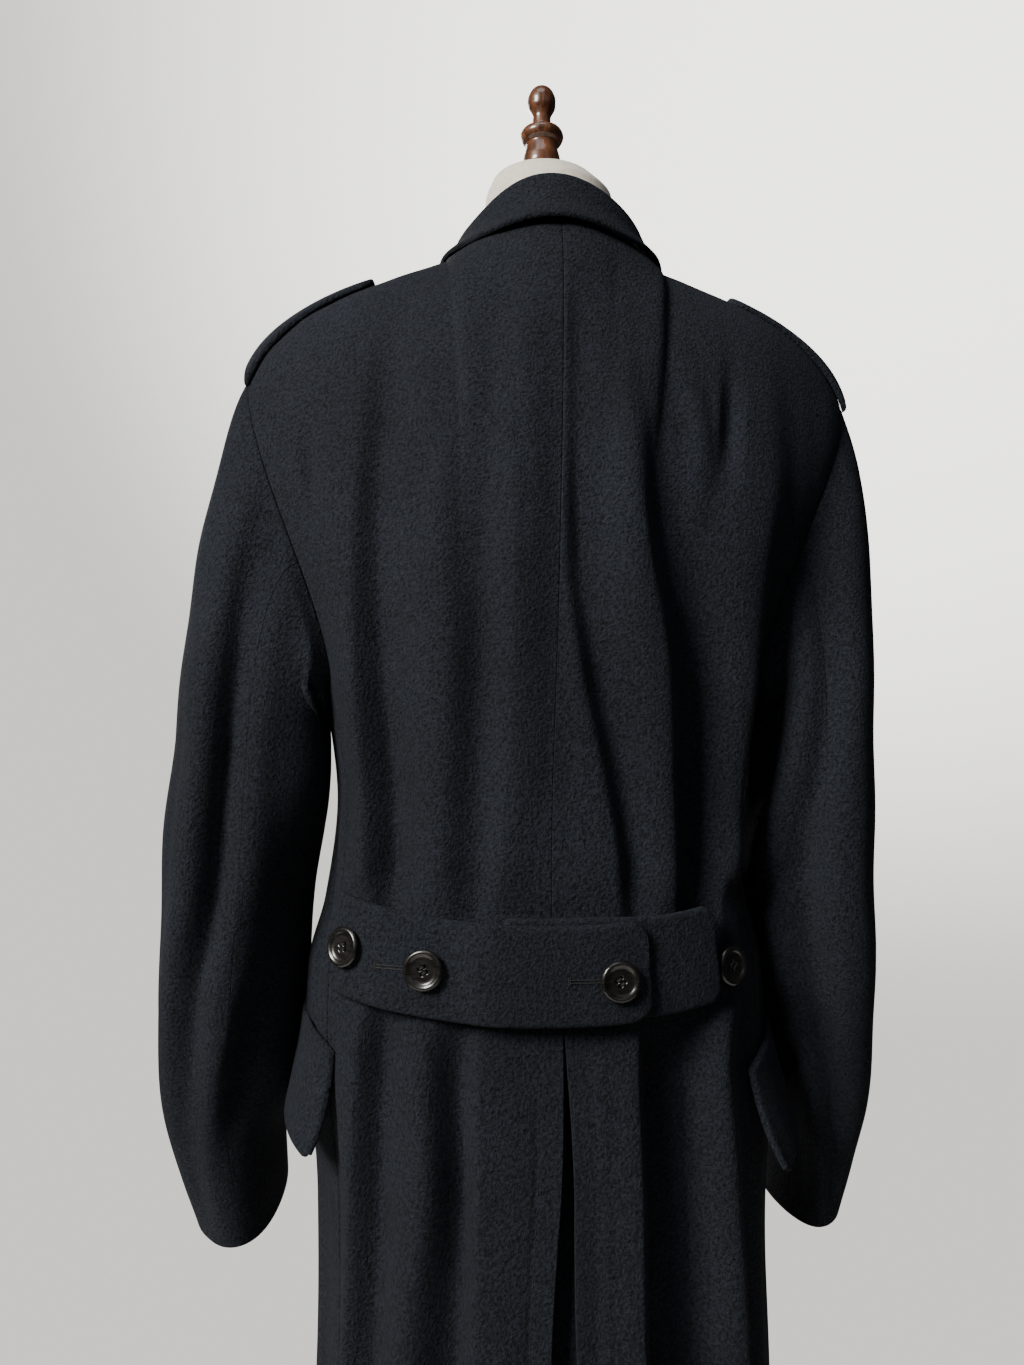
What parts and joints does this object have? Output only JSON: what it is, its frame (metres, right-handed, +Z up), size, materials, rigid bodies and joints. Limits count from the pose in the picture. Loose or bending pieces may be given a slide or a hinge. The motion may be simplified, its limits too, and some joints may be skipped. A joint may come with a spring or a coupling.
{
  "type": "wool coat on a dress form",
  "caption": "Long heavy wool coat with a half belt, pleated back and shoulder straps, worn on a limbless dress form with a turned finial and a round base.",
  "frame": {"origin": "centre of the underside of the round base plate, on the floor", "axes": "+Z up along the stand; the coat's front faces -Y and its back +Y; +X is the wearer's left, so seen from behind it is on the left"},
  "size_m": [0.5211, 0.42, 1.5946],
  "materials": {
    "wool_melton": "matte, short nap",
    "dark_horn": "polished rim",
    "cream_cotton": "matte plain weave",
    "varnished_walnut": "varnished",
    "painted_iron": "satin"
  },
  "bodies": {
    "root": {"back_left": "wool_melton", "back_right": "wool_melton", "front_left": "wool_melton", "front_right": "wool_melton", "back_pleat": "wool_melton", "sleeve_left_top": "wool_melton", "sleeve_left_under": "wool_melton", "sleeve_right_top": "wool_melton", "sleeve_right_under": "wool_melton", "collar": "wool_melton", "strap_left": "wool_melton", "strap_right": "wool_melton", "belt_left": "wool_melton", "belt_right": "wool_melton", "pocket_flap_left": "wool_melton", "pocket_flap_right": "wool_melton", "button_belt_left": "dark_horn", "button_belt_right": "dark_horn", "button_side_left": "dark_horn", "button_side_right": "dark_horn", "button_front_1": "dark_horn", "button_front_2": "dark_horn", "button_front_3": "dark_horn", "button_front_4": "dark_horn", "button_front_5": "dark_horn", "form_torso": "cream_cotton", "finial": "varnished_walnut", "stand": "painted_iron"}
  },
  "joints": []
}
